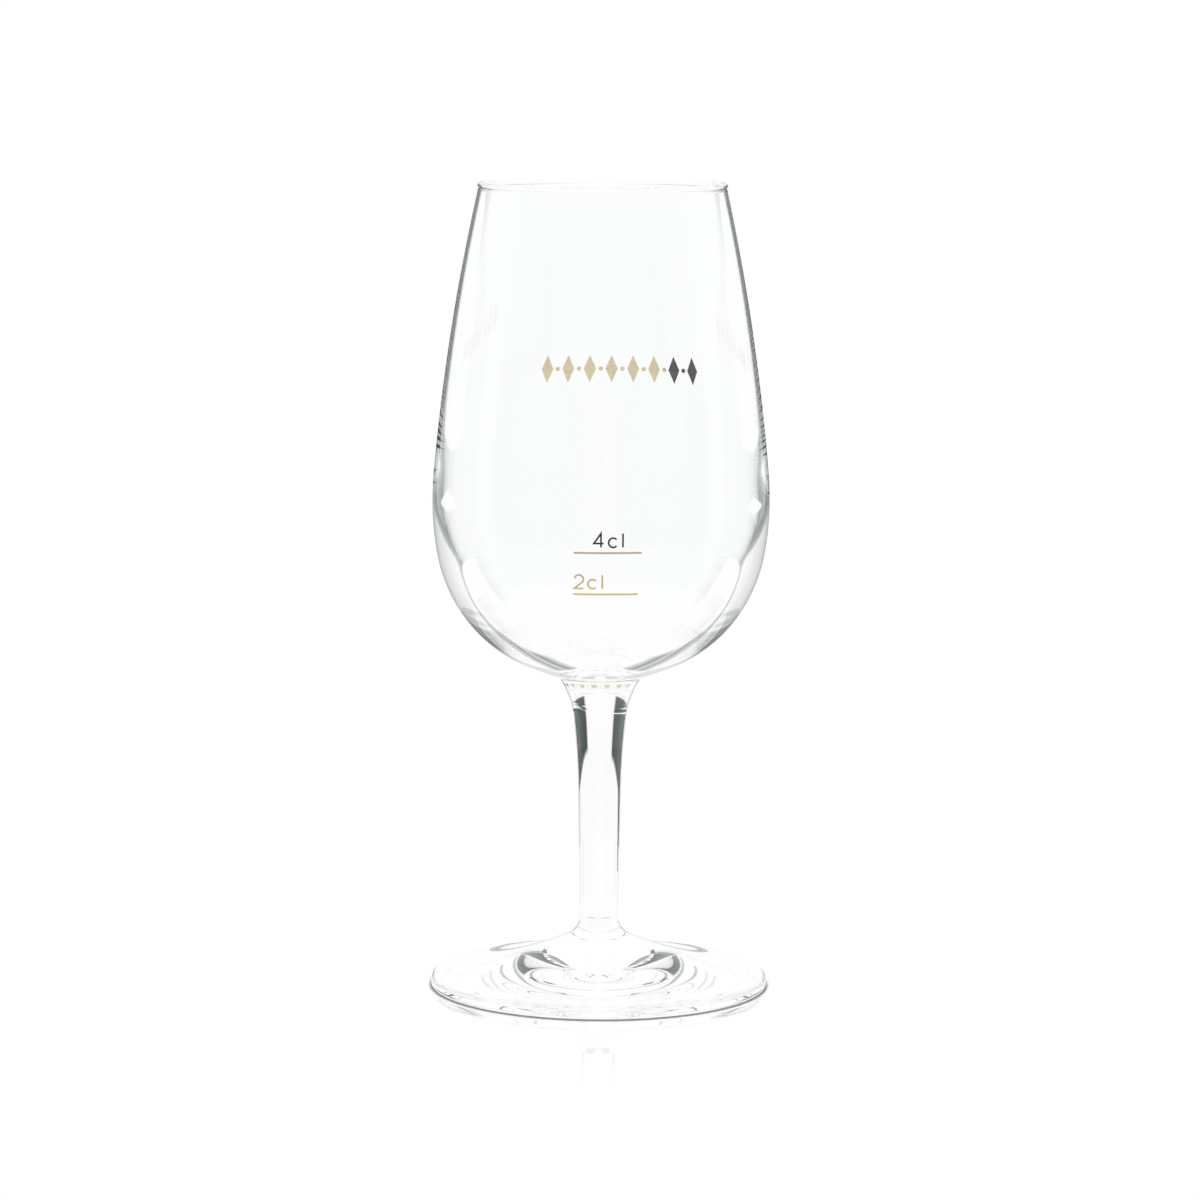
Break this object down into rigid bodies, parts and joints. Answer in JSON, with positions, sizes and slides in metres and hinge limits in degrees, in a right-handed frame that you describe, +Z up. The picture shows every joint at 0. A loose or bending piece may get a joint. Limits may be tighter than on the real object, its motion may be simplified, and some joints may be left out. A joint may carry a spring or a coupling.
{
  "type": "whisky nosing glass",
  "caption": "Tulip-shaped stemmed nosing glass in clear glass, with a drawn stem, a domed round foot, gold fill lines on the front and a gold band of lozenges on the back.",
  "frame": {"origin": "centre of the foot's resting ring, on the surface that the glass stands on", "axes": "+Z up along the axis of the stem and bowl; -Y is the front, with the fill lines; the band of lozenges is on the +Y side"},
  "size_m": [0.065, 0.065, 0.155],
  "materials": {
    "bowl_glass": "clear, fire-polished",
    "stem_glass": "clear, fire-polished",
    "foot_glass": "clear, fire-polished",
    "gold_print": "burnt-on gold print, semi-bright"
  },
  "bodies": {
    "root": {"bowl": "bowl_glass", "stem": "stem_glass", "foot": "foot_glass", "lower_fill_line": "gold_print", "upper_fill_line": "gold_print", "back_band": "gold_print"}
  },
  "joints": []
}
